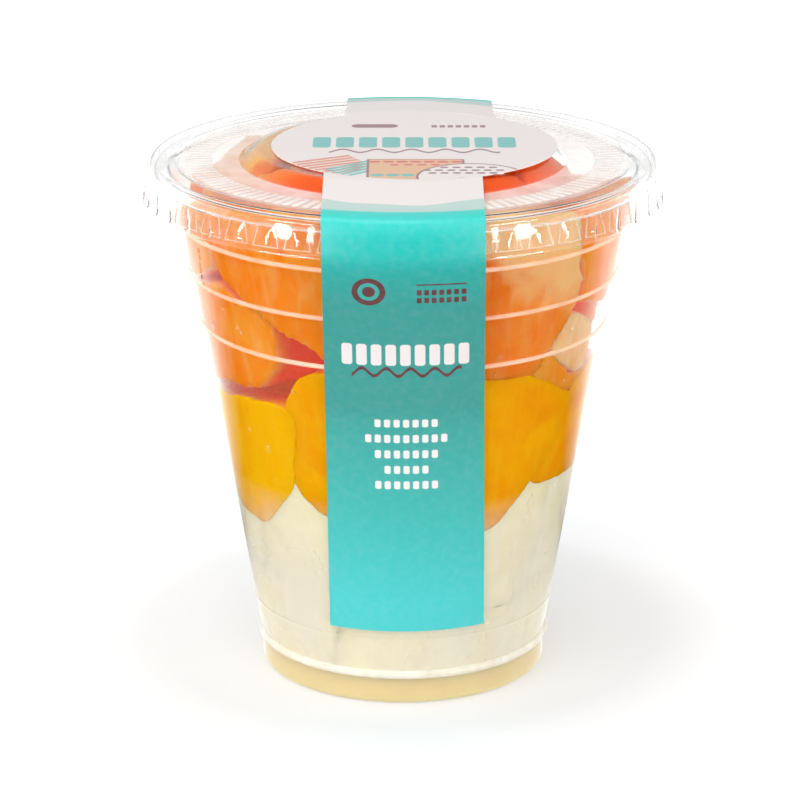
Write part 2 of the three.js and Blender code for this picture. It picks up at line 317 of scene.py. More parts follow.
def face_out(sheet, height=0):
    """Turns the sheet's faces to point away from the cup's axis at that height."""
    mesh = sheet.data
    inside = Vector((0, 0, height * MM))
    if sum((face.center - inside).dot(face.normal) * face.area for face in mesh.polygons) < 0:
        mesh.flip_normals()


def thicken(sheet, thickness, offset=-1.0):
    """Gives a sheet its thickness, to the inside by default."""
    bpy.context.view_layer.objects.active = sheet
    bpy.ops.object.modifier_add(type="SOLIDIFY")
    wall = sheet.modifiers[-1]
    wall.thickness = thickness * MM
    wall.offset = offset
    bpy.ops.object.modifier_apply(modifier=wall.name)


def smooth(piece, angle=40):
    """Shades a piece smooth, with its sharp edges kept."""
    bpy.ops.object.select_all(action="DESELECT")
    piece.select_set(True)
    bpy.context.view_layer.objects.active = piece
    bpy.ops.object.shade_smooth_by_angle(angle=math.radians(angle))


def bumped(tree, shader, height, distance, strength=1.0):
    """Puts a bump of that height on the shader, distance in metres."""
    bump = add_node(tree, "ShaderNodeBump", Strength=strength, Distance=distance)
    tree.links.new(height, bump.inputs["Height"])
    tree.links.new(bump.outputs["Normal"], shader.inputs["Normal"])
    return bump


def clear_plastic(name, tint, shade, flow, index, wave=0.15, haze=(0.0, 0.05)):
    """Clear drawn sheet. Lamps and scattered light pass straight through it; flow stretches its waves."""
    material, tree, shader = bare_material(name, IOR=index, Transmission_Weight=1.0)
    waves = object_noise(tree, 60.0, 1.5, flow)
    hazes = object_noise(tree, 300.0)
    set_finish(tree, shader, tinted(tree, waves, tint, shade), ranged(tree, hazes, *haze))
    bumped(tree, shader, waves, 0.0004, wave)
    path = add_node(tree, "ShaderNodeLightPath")
    clear = add_node(tree, "ShaderNodeBsdfTransparent")
    clear.inputs["Color"].default_value = (0.97, 0.98, 0.98, 1)
    surface = shader.outputs["BSDF"]
    for ray in ("Is Diffuse Ray", "Is Shadow Ray"):
        surface = mixed(tree, path.outputs[ray], surface, clear.outputs["BSDF"])
    tree.links.new(surface, tree.nodes["Material Output"].inputs["Surface"])
    return material


ring_line = []
for ring in RINGS:
    ring_line += [(wall_radius(ring - 0.5), ring - 0.5), (wall_radius(ring), ring)]

cup_line = eased(
    [
        (2.0, 2.0),
        (24.0, 2.0),
        (24.5, 0.0),
        (27.9, 0.0),
        (28.3, 0.5),
        (28.3, 5.2),
        (WALL_RADIUS, WALL_START),
        (wall_radius(13.6), 13.6),
        (wall_radius(14.0) + 0.12, 14.0),
        (wall_radius(14.4), 14.4),
        *ring_line,
        (wall_radius(100.6), 100.6),
        (wall_radius(101.0) + 0.3, 101.8),
        (47.9, 101.8),
        (47.9, 99.9),
        (47.0, 99.9),
    ],
    0.5,
)
cup = turned_sheet("cup_shell", cup_line, CUP_SIDES)
face_out(cup, 60)
thicken(cup, SHEET)
smooth(cup)
cup_plastic = clear_plastic("clear cup plastic", (0.985, 0.995, 0.995), (1.0, 1.0, 1.0), (1, 1, 0.25), 1.4)
cup.data.materials.append(cup_plastic)
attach(cup, "root")
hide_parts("cup")

# ----------------------------------------------------------------------
# Painted highlight rings: on the shoulders of the steps and of the foot, a thin pale band of
# plastic shows a painted highlight, warmed where fruit lies behind it, with a faint painted glow.
# ----------------------------------------------------------------------


def painted_sheen_plastic(name, pale, white, thin, thick, lit=0.0):
    """Pale plastic with a painted sheen that shows by thin to thick; lit is the strength of its painted glow.
    """
    material, tree, shader = bare_material(name, Emission_Color=(*pale, 1), Emission_Strength=lit)
    sheen_mottle = object_noise(tree, 160.0, 3.0)
    set_finish(tree, shader, tinted(tree, sheen_mottle, pale, white), ranged(tree, sheen_mottle, 0.3, 0.5))
    tree.links.new(ranged(tree, sheen_mottle, thin, thick), shader.inputs["Alpha"])
    bumped(tree, shader, sheen_mottle, 0.0002, 0.3)
    return material


# Painted highlights: pale over the foot's shoulder and warm over the steps, each with a faint painted glow
foot_highlight = painted_sheen_plastic("painted highlight on the foot shoulder", (0.97, 0.93, 0.84), (1.0, 0.98, 0.93), 0.4, 0.68, 0.1)
step_highlight = painted_sheen_plastic("painted highlight on the steps", (1.0, 0.74, 0.52), (1.0, 0.84, 0.68), 0.36, 0.54, 0.22)

# Height, radius, thickness and material of each painted highlight line
HIGHLIGHT_LINES = [(6.1, 28.3, 0.9, foot_highlight)]
HIGHLIGHT_LINES += [(ring - 0.2, wall_radius(ring) - 0.25, 0.48, step_highlight) for ring in RINGS]

for number, (height, radius, thick, painted_line) in enumerate(HIGHLIGHT_LINES):
    bpy.ops.object.select_all(action="DESELECT")
    bpy.ops.mesh.primitive_torus_add(
        major_radius=radius * MM, minor_radius=thick * MM,
        major_segments=CUP_SIDES, minor_segments=12, location=(0, 0, height * MM),
    )
    highlight_ring = bpy.context.active_object
    highlight_ring.name = f"painted_highlight_ring_{number + 1}"
    bpy.ops.object.transform_apply(location=True, rotation=False, scale=False)
    smooth(highlight_ring, 180)
    highlight_ring.data.materials.append(painted_line)
    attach(highlight_ring, "root")
    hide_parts("cup")

# ----------------------------------------------------------------------
# The fruit: knife-cut chunks pressed against the wall and on each other, pale melon below,
# mango in the middle and papaya on top. The flesh is wet, fibrous and lets light in.
# ----------------------------------------------------------------------

FRUITS = ("melon", "mango", "papaya")
GRID = 0.8  # size of the mesh that a chunk is made again on
# How far a chunk reaches into the wall it presses on, and by how much it grows to meet the next
TOUCH = {"papaya": 0.13, "mango": 0.17, "melon": 0.09}
SQUEEZE = {"papaya": 0.5, "mango": 0.7, "melon": 1.6}
# How near the wall a surface starts to press on it, and presses fully
PRESSED = {"papaya": (1.6, 0.6), "mango": (4.0, 2.6), "melon": (6.0, 4.2)}
SETBACK = 0.013  # of its depth behind the wall, that stays when flesh is pressed on it
LAYERED = 0.015  # by which each chunk of a fruit lies nearer to the wall than the one before
# The lid's underside, as radius and height
UNDER_LID = ((0.0, 104.7), (28.5, 104.7), (31.2, 102.3), (50.0, 102.3))
LID_GAP = 0.1
# Heights between which a chunk's top starts to fill the lid's raised middle, and how far out it does
RAISED, RAISED_RADIUS = (97.0, 100.6), 32.2
BASE_TOP = 2.7  # on which the lowest chunks lie
# Height of the uneven cut in millimetres, and the share of it that lies below the plain cut
UNEVENNESS = {"papaya": (2.0, 0.42), "mango": (1.8, 0.28), "melon": (2.4, 0.22)}


def add_clouds(name, scale):
    """A cloud texture for displacement, scale in millimetres."""
    clouds = bpy.data.textures.new(name, "CLOUDS")
    clouds.noise_scale = scale * MM
    clouds.noise_depth = 2
    return clouds


broad_clouds = add_clouds("broad cut", 9.0)
fine_clouds = add_clouds("torn cut", 2.4)


def wall_inside(height):
    """Inside radius of the wall for an array of heights in millimetres."""
    radius = WALL_RADIUS + TAPER * (height - WALL_START) - SHEET
    for ring in RINGS:
        radius = radius + RING_STEP * np.clip((height - ring) / 0.5 + 1, 0, 1)
    return radius


def cut_chunk(node, squeeze, unevenness, low):
    """A chunk of fruit made from its solid, with its edges worn and its cut faces uneven."""
    chunk = bpy.data.objects.new(f"{node}_chunk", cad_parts[node].data.copy())
    bpy.context.scene.collection.objects.link(chunk)
    bpy.ops.object.select_all(action="DESELECT")
    chunk.select_set(True)
    bpy.context.view_layer.objects.active = chunk
    bpy.ops.object.mode_set(mode="EDIT")
    bpy.ops.mesh.select_all(action="SELECT")
    bpy.ops.mesh.remove_doubles(threshold=0.00001)
    bpy.ops.object.mode_set(mode="OBJECT")
    bpy.ops.object.modifier_add(type="REMESH")
    chunk.modifiers[-1].mode = "VOXEL"
    chunk.modifiers[-1].voxel_size = GRID * MM
    bpy.ops.object.modifier_add(type="SMOOTH")
    chunk.modifiers[-1].factor = 0.5
    chunk.modifiers[-1].iterations = 2
    for clouds, strength, level in (
        (None, squeeze, 0.0), (broad_clouds, unevenness, low), (fine_clouds, unevenness * 0.22, 0.5),
    ):
        bpy.ops.object.modifier_add(type="DISPLACE")
        push = chunk.modifiers[-1]
        push.texture = clouds
        push.texture_coords = "LOCAL"
        push.strength = strength * MM
        push.mid_level = level
    for modifier in list(chunk.modifiers):
        bpy.ops.object.modifier_apply(modifier=modifier.name)
    bpy.ops.object.shade_smooth()
    return chunk


def smooth_step(value, start, end):
    """0 before start and 1 after end, eased between them."""
    t = np.clip((value - start) / (end - start), 0, 1)
    return t * t * (3 - 2 * t)


def mesh_places(mesh):
    """The mesh's points in millimetres, and their distances from the cup's axis."""
    places = np.empty(len(mesh.vertices) * 3)
    mesh.vertices.foreach_get("co", places)
    places = places.reshape(-1, 3) / MM
    return places, np.hypot(places[:, 0], places[:, 1])


def press_on_pack(mesh, touch, far, near):
    """Flattens what lies near the cup's wall against it, just into the sheet, and the top on the lid."""
    places, radius = mesh_places(mesh)
    inside = wall_inside(places[:, 2])
    share = smooth_step(radius, inside - far, inside - near)
    pressed = radius + share * (inside + touch - SETBACK * np.clip(inside - radius, 0, near) - radius)
    places[:, :2] *= (pressed / np.maximum(radius, 1e-6))[:, None]
    lid_height = np.interp(radius, *zip(*UNDER_LID))
    raised = smooth_step(places[:, 2], *RAISED) * (radius < RAISED_RADIUS)
    places[:, 2] += raised * (lid_height - LID_GAP - places[:, 2])
    places[:, 2] = np.clip(places[:, 2], BASE_TOP, lid_height - LID_GAP)
    mesh.vertices.foreach_set("co", (places * MM).ravel())
    mesh.update()


def even_shading(chunk):
    """Lets the broad faces lead the shading, and not the slivers at the pressed edges."""
    bpy.context.view_layer.objects.active = chunk
    bpy.ops.object.modifier_add(type="WEIGHTED_NORMAL")
    bpy.ops.object.modifier_apply(modifier=chunk.modifiers[-1].name)


# Where painted shade starts on the flesh and is full: by its depth behind the wall, which counts less
# and less up to the lid, or below the seal, by radius, height and distance to the front
SHADE_DEPTHS, SHADE_FADES = (0.9, 3.6), (93.0, 98.0)
SEAL_SHADE_RADII, SEAL_SHADE_RISE, SEAL_SHADE_FRONT = (31.5, 34.0), (95.0, 99.0), (4.0, 20.0)


def keep_tone_and_shade(mesh, tone):
    """Keeps the chunk's tone, and how much painted shade each point gets, behind the fruit or under the seal.
    """
    places, radius = mesh_places(mesh)
    height = places[:, 2]
    behind = smooth_step(wall_inside(height) - radius, *SHADE_DEPTHS) * (1 - smooth_step(height, *SHADE_FADES))
    under = (1 - smooth_step(radius, *SEAL_SHADE_RADII)) * smooth_step(height, *SEAL_SHADE_RISE)
    under = under * smooth_step(0.25 * places[:, 0] - places[:, 1], *SEAL_SHADE_FRONT)
    for name, values in (("painted_shade", np.maximum(behind, under)), ("tone", np.full(len(places), tone))):
        mesh.attributes.new(name, "FLOAT", "POINT").data.foreach_set("value", values)


def add_flesh_group():
    """Marks of cut flesh: broad mottle, fine strings along the fruit and a wet grain."""
    group = bpy.data.node_groups.new("cut flesh marks", "ShaderNodeTree")
    given = group.nodes.new("NodeGroupInput")
    result = group.nodes.new("NodeGroupOutput")
    place = group.nodes.new("ShaderNodeTexCoord")
    for mark, scale, detail, stretch in (
        ("Mottle", "Mottle Scale", 3.0, (1, 1, 1)),
        ("Strings", "String Scale", 2.0, (1, 1, 0.18)),
        ("Grain", "Grain Scale", 3.0, (1, 1, 1)),
    ):
        group.interface.new_socket(scale, in_out="INPUT", socket_type="NodeSocketFloat")
        group.interface.new_socket(mark, in_out="OUTPUT", socket_type="NodeSocketFloat")
        mapping = group.nodes.new("ShaderNodeMapping")
        mapping.inputs["Scale"].default_value = stretch
        mapping.inputs["Rotation"].default_value = (0.5, 0.35, 0)
        noise = add_node(group, "ShaderNodeTexNoise", Detail=detail)
        noise.inputs["Distortion"].default_value = 0.6
        group.links.new(place.outputs["Object"], mapping.inputs["Vector"])
        group.links.new(mapping.outputs["Vector"], noise.inputs["Vector"])
        group.links.new(given.outputs[scale], noise.inputs["Scale"])
        group.links.new(noise.outputs["Fac"], result.inputs[mark])
    return group


flesh_marks = add_flesh_group()


def let_light_in(shader, weight, reach):
    """Lets that share of the light into the piece, to come out by reach for each colour."""
    shader.inputs["Subsurface Weight"].default_value = weight
    shader.inputs["Subsurface Radius"].default_value = reach
    shader.inputs["Subsurface Scale"].default_value = 0.006


def flesh(name, pale, full, deep, painted_shade, strung_share, glow, glow_reach, scales, top_light=None):
    """Wet cut flesh: paler along its strings, deeper in patches, and with painted shade and a faint painted
    glow where it lies behind other flesh or under the seal.
    """
    material, tree, shader = bare_material(name, IOR=1.36, Specular_IOR_Level=0.06, Emission_Color=(*deep, 1))
    marks = tree.nodes.new("ShaderNodeGroup")
    marks.node_tree = flesh_marks
    for socket, scale in zip(("Mottle Scale", "String Scale", "Grain Scale"), scales):
        marks.inputs[socket].default_value = scale
    tone = add_node(tree, "ShaderNodeAttribute", attribute_name="tone").outputs["Fac"]
    mottle = maths(tree, "MULTIPLY_ADD", tone, 0.16, marks.outputs["Mottle"])
    patches = tinted(tree, ranged(tree, mottle, 0, 1, 0.40, 0.70), deep, full)
    strung = tinted(tree, ranged(tree, marks.outputs["Strings"], 0, strung_share, 0.45, 0.75), patches, pale)
    # Painted light: paler towards the side that faces up and to the right, where light falls
    if top_light:
        way, start, end = top_light
        place = add_node(tree, "ShaderNodeTexCoord")
        along_way = add_node(tree, "ShaderNodeVectorMath", operation="DOT_PRODUCT")
        along_way.inputs[1].default_value = way
        tree.links.new(place.outputs["Object"], along_way.inputs[0])
        ragged = maths(tree, "MULTIPLY_ADD", marks.outputs["Mottle"], 0.016, along_way.outputs["Value"])
        strung = tinted(tree, ranged(tree, ragged, 0, 0.85, start, end), strung, pale)
    # Painted shade: towards the shade colour where the flesh lies behind other flesh or under the seal, with
    # a faint painted glow of its deep colour there
    shaded = add_node(tree, "ShaderNodeAttribute", attribute_name="painted_shade").outputs["Fac"]
    strung = tinted(tree, ranged(tree, shaded, 0, 1, 0, 1), strung, painted_shade)
    set_finish(tree, shader, strung, ranged(tree, marks.outputs["Grain"], 0.18, 0.42))
    tree.links.new(ranged(tree, shaded, 0, 0.08, 0, 1), shader.inputs["Emission Strength"])
    grain = maths(tree, "ADD", marks.outputs["Strings"], marks.outputs["Grain"])
    bumped(tree, shader, grain, 0.0003, 0.4)
    let_light_in(shader, glow, glow_reach)
    return material


PAPAYA_GLOW = (1.0, 0.4, 0.12)
MANGO_GLOW = (1.0, 0.6, 0.05)
PAPAYA_SCALES = (110.0, 420.0, 1000.0)
MANGO_SCALES = (90.0, 500.0, 1200.0)
# The papaya's painted shade, behind other flesh and under the seal
PAINTED_SHADE_RED = (0.90, 0.085, 0.001)
FLESH = {
    "papaya": flesh(
        "papaya flesh", (0.97, 0.50, 0.17), (0.97, 0.33, 0.03), (0.95, 0.235, 0.008), PAINTED_SHADE_RED,
        0.35, 0.6, PAPAYA_GLOW, PAPAYA_SCALES,
    ),
    "mango": flesh(
        "mango flesh", (0.96, 0.60, 0.03), (0.95, 0.47, 0.0), (0.90, 0.35, 0.0), (0.90, 0.22, 0.0),
        0.2, 0.3, MANGO_GLOW, MANGO_SCALES,
    ),
    "melon": flesh(
        "melon flesh", (0.96, 0.91, 0.77), (0.93, 0.85, 0.60), (0.89, 0.79, 0.48), (0.94, 0.87, 0.66),
        0.5, 0.3, (1.0, 0.9, 0.7), (120.0, 200.0, 900.0),
    ),
}
ripe_mango = flesh(
    "riper mango flesh", (0.97, 0.52, 0.02), (0.96, 0.41, 0.0), (0.92, 0.31, 0.0), (0.90, 0.20, 0.0),
    0.2, 0.3, MANGO_GLOW, MANGO_SCALES,
)
yellow_papaya = flesh(
    "yellow papaya flesh", (0.97, 0.60, 0.20), (0.97, 0.46, 0.06), (0.95, 0.36, 0.02), (0.93, 0.28, 0.01),
    0.35, 0.6, PAPAYA_GLOW, PAPAYA_SCALES,
)
OWN_FLESH = {
    "mango_2": ripe_mango,
    "mango_4": ripe_mango,
    "papaya_2": flesh(
        "redder papaya flesh with painted light on top", (0.97, 0.57, 0.25), (0.94, 0.27, 0.03), (0.90, 0.17, 0.006), PAINTED_SHADE_RED,
        0.2, 0.6, (1.0, 0.5, 0.25), PAPAYA_SCALES, ((0.55, 0, 1), 0.104, 0.111),
    ),
    "papaya_4": flesh(
        "pale papaya flesh", (0.98, 0.68, 0.42), (0.98, 0.58, 0.30), (0.96, 0.45, 0.17), PAINTED_SHADE_RED,
        0.7, 0.6, (1.0, 0.7, 0.5), PAPAYA_SCALES,
    ),
    "papaya_8": yellow_papaya,
}

for fruit in FRUITS:
    for number, node in enumerate(sorted(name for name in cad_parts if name.startswith(fruit + "_"))):
        chunk = cut_chunk(node, SQUEEZE[fruit], *UNEVENNESS[fruit])
        press_on_pack(chunk.data, TOUCH[fruit] + LAYERED * (number % 3), *PRESSED[fruit])
        even_shading(chunk)
        keep_tone_and_shade(chunk.data, (0.5 * number) % 1.25)
        chunk.data.materials.clear()
        chunk.data.materials.append(OWN_FLESH.get(node, FLESH[fruit]))
        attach(chunk, "root")
        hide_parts(node)

# ----------------------------------------------------------------------
# The juice that the fruit gives off: a shallow amber pool in the foot channel and over the
# base, which wets the wall. It has no solid.
# ----------------------------------------------------------------------

JUICE_TOP = 5.1
JUICE_SKIN = 0.12  # of the plastic that shows in front of the juice, which wets it

juice_line = eased(
    [
        (2.0, JUICE_TOP),
        (27.2, JUICE_TOP),
        (28.3 - JUICE_SKIN, JUICE_TOP + 0.3),
        (28.3 - JUICE_SKIN, 0.5 + JUICE_SKIN),
        (27.9 - JUICE_SKIN, JUICE_SKIN),
        (24.6 + JUICE_SKIN, JUICE_SKIN),
        (24.1 + JUICE_SKIN, 2.55),
        (2.0, 2.55),
    ],
    0.25,
)


def close_below(sheet):
    """Closes a turned sheet's open end, and faces it outwards."""
    bpy.ops.object.mode_set(mode="EDIT")
    select_open_edges()
    bpy.ops.mesh.edge_face_add()
    bpy.ops.mesh.select_all(action="SELECT")
    bpy.ops.mesh.normals_make_consistent(inside=False)
    bpy.ops.object.mode_set(mode="OBJECT")


juice = turned_sheet("juice_pool", juice_line, CUP_SIDES)
close_below(juice)
smooth(juice)
amber, tree, shader = bare_material("cloudy amber juice", IOR=1.34, Specular_IOR_Level=0.2)
pulp = object_noise(tree, 250.0, 3.0)
amber_colour = tinted(tree, pulp, (0.80, 0.60, 0.29), (0.83, 0.65, 0.36))
set_finish(tree, shader, amber_colour, ranged(tree, pulp, 0.10, 0.22))
bumped(tree, shader, pulp, 0.0003, 0.3)
let_light_in(shader, 1.0, (1.0, 0.85, 0.45))
juice.data.materials.append(amber)
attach(juice, "root")

# Milky juice stands between the chunks of melon and wets the wall up to MILKY_FULL
MILKY_FULL, MILKY_TOP = 34.0, 42.0
MILKY_TOUCH = 0.04
milky_line = [
    (2.0, MILKY_TOP),
    (wall_inside(MILKY_TOP) - 3.0, MILKY_TOP),
    (wall_inside(MILKY_FULL) + MILKY_TOUCH, MILKY_FULL),
    (wall_inside(21.0) + MILKY_TOUCH, 21.0),
    (wall_inside(6.4) + MILKY_TOUCH, 6.4),
    (wall_inside(6.4) - 0.6, JUICE_TOP - 0.2),
    (2.0, JUICE_TOP - 0.2),
]
between = turned_sheet("milky_juice", milky_line, CUP_SIDES)
close_below(between)
smooth(between)
cream, tree, shader = bare_material("milky juice between the melon", Specular_IOR_Level=0.06)
curds = object_noise(tree, 90.0, 3.0)
cream_colour = tinted(tree, curds, (0.93, 0.86, 0.67), (0.96, 0.92, 0.80))
set_finish(tree, shader, cream_colour, ranged(tree, curds, 0.3, 0.5))
bumped(tree, shader, curds, 0.0006, 0.5)
let_light_in(shader, 0.3, (1.0, 0.9, 0.7))
between.data.materials.append(cream)
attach(between, "root")


def thin_ring(name, profile, thickness):
    """A thin turned sheet without its middle."""
    ring = turned_sheet(name, profile, CUP_SIDES)
    bpy.ops.object.mode_set(mode="EDIT")
    bpy.ops.mesh.select_mode(type="VERT")
    bpy.ops.mesh.select_all(action="DESELECT")
    cut = bmesh.from_edit_mesh(ring.data)
    middle = min(cut.verts, key=lambda v: v.co.xy.length)
    bmesh.ops.delete(cut, geom=[middle], context="VERTS")
    bmesh.update_edit_mesh(ring.data)
    bpy.ops.object.mode_set(mode="OBJECT")
    face_out(ring)
    thicken(ring, thickness)
    smooth(ring)
    return ring


# A film of it wets the wall over the seams, and thins out upwards
FILM_LINE = [(wall_inside(height) + 0.25, height) for height in (6.2, 14.0, 30.0, 44.0)]
film = thin_ring("milky_juice_film", FILM_LINE, 0.03)
milky, tree, shader = bare_material("milky juice")
froth = object_noise(tree, 70.0, 2.0, (1, 1, 0.7))
thinner_up = ranged(tree, place_parts(tree)["Z"], 1.0, 0.0, 0.026, 0.043)
thinning = maths(tree, "MULTIPLY", thinner_up, ranged(tree, froth, 0.12, 0.4, 0.35, 0.65))
tree.links.new(thinning, shader.inputs["Alpha"])
milky_colour = tinted(tree, froth, (0.95, 0.90, 0.76), (0.98, 0.95, 0.88))
set_finish(tree, shader, milky_colour, ranged(tree, froth, 0.15, 0.3))
bumped(tree, shader, froth, 0.0003, 0.3)
film.data.materials.append(milky)
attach(film, "root")

# Beads of juice and water on the wall, each at its azimuth and height
DROP_RUNS = (
    (0.55, ((-64.6, 89.2), (-64.7, 87.8), (-65.6, 86.3), (-65.7, 85.1), (-65.8, 83.6), (-65.2, 82.3))),
    (0.7, ((-56.3, 78.8), (-50.4, 76.1), (-53.9, 54.3), (-45.8, 51.7), (52.6, 75.4), (58.9, 41.6))),
    (0.45, (
        (-32.8, 65.4), (26.4, 69.4), (53.8, 64.6), (-49.4, 75.2), (-45.1, 51.2), (-32.1, 27.1), (-30.5, 26.2),
    )),
    (0.6, (
        (47.1, 41.9), (45.7, 40.2), (46.5, 38.0), (45.3, 36.8), (-31.6, 31.1), (-30.2, 30.0), (-29.3, 28.5),
    )),
)
beads = []
for size, places in DROP_RUNS:
    for number, (azimuth, height) in enumerate(places):
        turn = math.radians(azimuth)
        out = wall_radius(height) * MM
        bpy.ops.object.select_all(action="DESELECT")
        bpy.ops.mesh.primitive_uv_sphere_add(
            segments=24, ring_count=12, radius=size * (1 - 0.12 * (number % 3)) * MM,
            location=(out * math.sin(turn), -out * math.cos(turn), height * MM), rotation=(0, 0, turn),
        )
        bead = bpy.context.active_object
        bead.scale = (0.8, 0.45, 1.0 + 0.3 * (number % 2))
        beads.append(bead)
for bead in beads:
    bead.select_set(True)
bpy.ops.object.transform_apply(location=True, rotation=True, scale=True)
bpy.ops.object.join()
drops = bpy.context.active_object
drops.name = "juice_beads"
smooth(drops, 180)
bead_clear = clear_plastic("clear juice bead", (0.99, 0.97, 0.93), (1.0, 1.0, 1.0), (1, 1, 1), 1.34)
drops.data.materials.append(bead_clear)
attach(drops, "root")

# ----------------------------------------------------------------------
# The lid: one clear drawn sheet with a raised middle, a ring of fine ribs, a bead over the
# cup's rim and a flared skirt with a row of pressed snaps.
# ----------------------------------------------------------------------

SNAPS = 48
COLUMNS = 16 * SNAPS
BEAD_EDGE = 101.5
# Heights at which a snap's pad ends, is deepest and begins, and its depths there
PAD_HEIGHTS, PAD_DEPTHS = (96.3, 96.6, 101.3), (0, 0.42, 0.05)

lid_line = eased(
    [
        (2.0, 105.2),
        (28.6, 105.2),
        (31.4, 102.8),
        (43.6, 102.8),
        (44.7, 103.4),
        (48.7, 103.4),
        (49.4, 102.6),
        (49.7, BEAD_EDGE),
    ],
    1.0,
)
SKIRT = (
    (49.8, 101.25), (50.05, 100.0), (50.25, 99.0), (50.45, 97.8),
    (50.61, 96.6), (50.67, 96.3), (50.8, 95.9), (50.8, 95.6),
)
lid = turned_sheet("lid_shell", [*lid_line, *SKIRT], COLUMNS)
face_out(lid)


def press_lid(mesh):
    """Presses the snaps of the skirt inwards."""
    places, radius = mesh_places(mesh)
    turn = np.arctan2(places[:, 0], -places[:, 1]) / (2 * np.pi)
    height = places[:, 2]
    pad = np.abs((turn * SNAPS) % 1 - 0.5)
    drop = (BEAD_EDGE - height) / (BEAD_EDGE - 96.7)
    wide = 0.26 + 0.17 * np.clip(drop, 0, 1)
    depth = np.interp(height, PAD_HEIGHTS, PAD_DEPTHS)
    skirt = (radius > 49) * (height < PAD_HEIGHTS[-1]) * (height > PAD_HEIGHTS[0])
    press = depth * skirt * (1 - smooth_step(pad, wide - 0.035, wide + 0.035))
    places[:, :2] *= ((radius - press) / np.maximum(radius, 1e-6))[:, None]
    mesh.vertices.foreach_set("co", (places * MM).ravel())
    mesh.update()


press_lid(lid.data)
thicken(lid, SHEET)
smooth(lid, 50)
lid_plastic = clear_plastic(
    "clear lid plastic", (0.98, 0.98, 0.975), (0.995, 0.995, 0.99), (1, 1, 1), 1.26, 0.05, (0.03, 0.09)
)
lid.data.materials.append(lid_plastic)
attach(lid, "root")
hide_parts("lid")

# The ribs: fine radial bars drawn up in the panel, pale with a painted sheen and a faint painted glow
RIB_DOUBLINGS = 7  # 128 ribs
RIB_FROM, RIB_TO = 37.2, 42.5
RIB_WIDTH, RIB_HEIGHT = 1.2, 0.16
RIB_MIDDLE = 102.82


def doubled_round(doublings):
    """Copies what is edited round the cup's axis, to twice as many with each doubling."""
    for doubling in range(doublings):
        bpy.ops.mesh.select_all(action="SELECT")
        bpy.ops.mesh.duplicate()
        step = 2 * math.pi / 2 ** (doublings - doubling)
        bpy.ops.transform.rotate(value=step, orient_axis="Z", center_override=(0, 0, 0))


bpy.ops.object.select_all(action="DESELECT")
bpy.ops.mesh.primitive_cube_add(size=MM, location=(0, -(RIB_FROM + RIB_TO) / 2 * MM, RIB_MIDDLE * MM))
ribs = bpy.context.active_object
ribs.name = "lid_ribs"
ribs.scale = (RIB_WIDTH, RIB_TO - RIB_FROM, RIB_HEIGHT)
bpy.ops.object.transform_apply(location=True, rotation=False, scale=True)
bpy.ops.object.mode_set(mode="EDIT")
bpy.ops.mesh.select_all(action="SELECT")
bpy.ops.mesh.bevel(offset=0.05 * MM, segments=2, affect="EDGES")
doubled_round(RIB_DOUBLINGS)
bpy.ops.object.mode_set(mode="OBJECT")
smooth(ribs)
# Painted sheen on the ribs, with a faint painted glow
rib_sheen = painted_sheen_plastic("ribs with painted sheen", (0.98, 0.97, 0.95), (1.0, 1.0, 1.0), 0.55, 0.8, 0.08)
ribs.data.materials.append(rib_sheen)
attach(ribs, "root")
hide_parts("lid")

# Over the panel, a thin pale sheet: a painted veil of reflection, with a faint painted glow
haze = thin_ring("lid_panel_painted_veil", [(31.9, 102.86), (43.4, 102.86)], 0.04)
panel_veil = painted_sheen_plastic("panel painted veil", (0.98, 0.94, 0.90), (1.0, 0.99, 0.97), 0.25, 0.42, 0.12)
haze.data.materials.append(panel_veil)
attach(haze, "root")
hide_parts("lid")

# Painted glints along the edges of the snaps: a fine white frame round each, narrower at the top
SNAP_LOW, SNAP_HIGH = 96.75, 101.1
SNAP_LOW_HALF, SNAP_HIGH_HALF = 2.75, 1.75
SNAP_LOW_OUT, SNAP_HIGH_OUT = 50.55, 49.86
GLINT_WIDTH = 0.13
SNAP_DOUBLINGS = 4  # of three frames, to 48

bpy.ops.object.select_all(action="DESELECT")
bpy.ops.mesh.primitive_plane_add(size=2 * MM, rotation=(math.pi / 2, 0, 0))
edge_glints = bpy.context.active_object
edge_glints.name = "snap_edge_glints"
bpy.ops.object.transform_apply(location=True, rotation=True, scale=True)
for corner in edge_glints.data.vertices:
    high = corner.co.z > 0
    half = SNAP_HIGH_HALF if high else SNAP_LOW_HALF
    corner.co.x = math.copysign(half, corner.co.x) * MM
    corner.co.y = -(SNAP_HIGH_OUT if high else SNAP_LOW_OUT) * MM
    corner.co.z = (SNAP_HIGH if high else SNAP_LOW) * MM
bpy.ops.object.mode_set(mode="EDIT")
bpy.ops.mesh.select_all(action="SELECT")
bpy.ops.mesh.inset(thickness=GLINT_WIDTH * MM)
bpy.ops.mesh.delete(type="FACE")
bpy.ops.mesh.select_all(action="SELECT")
bpy.ops.mesh.subdivide(number_cuts=3)
for _ in range(2):
    bpy.ops.mesh.duplicate()
    bpy.ops.transform.rotate(value=2 * math.pi / SNAPS, orient_axis="Z", center_override=(0, 0, 0))
doubled_round(SNAP_DOUBLINGS)
bpy.ops.object.mode_set(mode="OBJECT")
face_out(edge_glints)
thicken(edge_glints, 0.12)
smooth(edge_glints)
# Painted glints on the snaps' edges
glint_finish = painted_sheen_plastic("painted glints on the snap edges", (0.95, 0.95, 0.94), (1.0, 1.0, 1.0), 0.12, 0.4)
edge_glints.data.materials.append(glint_finish)
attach(edge_glints, "root")
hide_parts("lid")

# ----------------------------------------------------------------------
# The sticker: coated paper cut in one piece, a round seal with a strip to the front and one
# to the back. It is stuck to the lid, bends over the rim, spans to the wall and is stuck there.
# ----------------------------------------------------------------------

